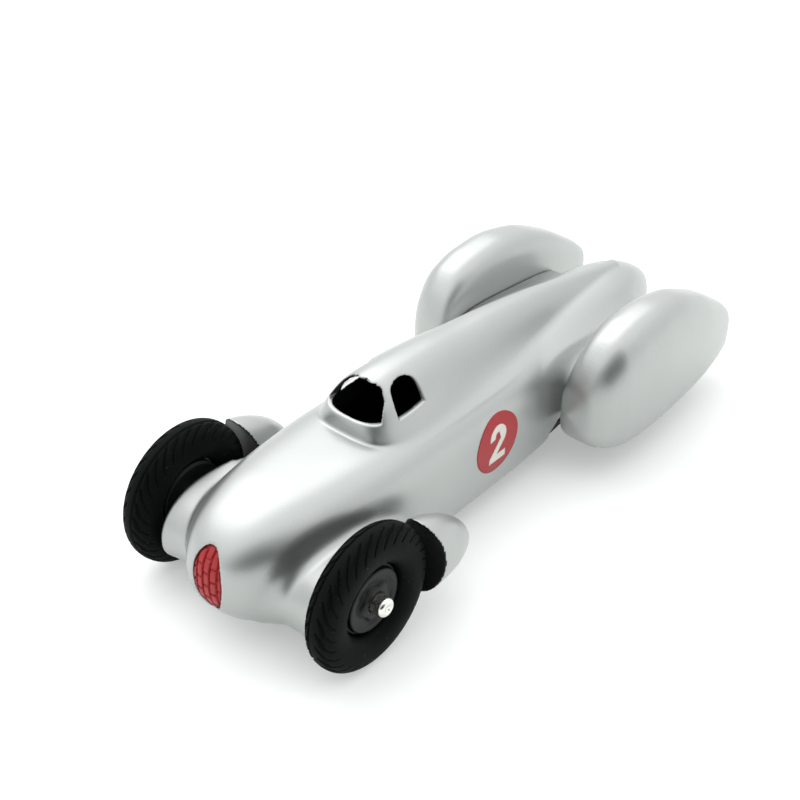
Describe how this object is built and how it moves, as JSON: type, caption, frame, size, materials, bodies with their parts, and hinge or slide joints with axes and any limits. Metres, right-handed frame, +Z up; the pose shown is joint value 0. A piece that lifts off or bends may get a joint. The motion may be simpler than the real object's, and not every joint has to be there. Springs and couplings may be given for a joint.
{
  "type": "pull back car",
  "caption": "Streamlined toy racing car with enclosed rear wheels, a cabin bubble and a pull back spring motor driving the rear axle.",
  "frame": {"origin": "centre of the bounding box at floor level, where the tyres touch", "axes": "+X towards the nose, +Y to the left side of the car, +Z up"},
  "size_m": [0.1566, 0.0608, 0.042],
  "materials": {
    "painted_body": "satin metallic silver paint over black moulded plastic",
    "red_trim": "matt red print",
    "black_plastic": "satin black moulding",
    "tyre_rubber": "matt black rubber",
    "steel": "bright",
    "brass": "machined",
    "nylon": "natural nylon",
    "spring_steel": "blued"
  },
  "bodies": {
    "chassis": {"body_shell": "painted_body", "front_fairing_left": "painted_body", "front_fairing_right": "painted_body", "rear_spat_left": "painted_body", "rear_spat_right": "painted_body", "nose_grille": "red_trim", "roundel_left": "red_trim", "roundel_right": "red_trim", "base_plate": "black_plastic", "motor_case_left": "black_plastic", "motor_case_right": "black_plastic", "idler_pin": "steel", "base_screw_1": "steel", "base_screw_2": "steel", "base_screw_3": "steel", "motor_screw_1": "steel", "motor_screw_2": "steel", "mainspring": "spring_steel"},
    "front_wheels": {"front_axle": "steel", "front_hub_left": "black_plastic", "front_hub_right": "black_plastic", "front_tyre_left": "tyre_rubber", "front_tyre_right": "tyre_rubber"},
    "rear_wheels": {"rear_axle": "steel", "axle_pinion": "brass", "rear_hub_left": "black_plastic", "rear_hub_right": "black_plastic", "rear_tyre_left": "tyre_rubber", "rear_tyre_right": "tyre_rubber"},
    "idler": {"idler_gear": "nylon"},
    "spring_drum": {"spring_gear": "nylon"}
  },
  "joints": [
    {"name": "front_axle_spin", "type": "hinge", "parent": "chassis", "child": "front_wheels", "pos_m": [0.0594, 0, 0.016], "axis": [0, 1, 0], "continuous": true},
    {"name": "rear_axle_spin", "type": "hinge", "parent": "chassis", "child": "rear_wheels", "pos_m": [-0.0376, 0, 0.016], "axis": [0, 1, 0], "continuous": true},
    {"name": "idler_spin", "type": "hinge", "parent": "chassis", "child": "idler", "pos_m": [-0.02898, 0, 0.0164], "axis": [0, 1, 0], "continuous": true},
    {"name": "spring_spin", "type": "hinge", "parent": "chassis", "child": "spring_drum", "pos_m": [-0.02036, 0, 0.0164], "axis": [0, 1, 0], "continuous": true}
  ],
  "couplings": [
    {"joint": "idler_spin", "follows": "rear_axle_spin", "ratio": -0.41667},
    {"joint": "spring_spin", "follows": "rear_axle_spin", "ratio": 0.17361}
  ]
}
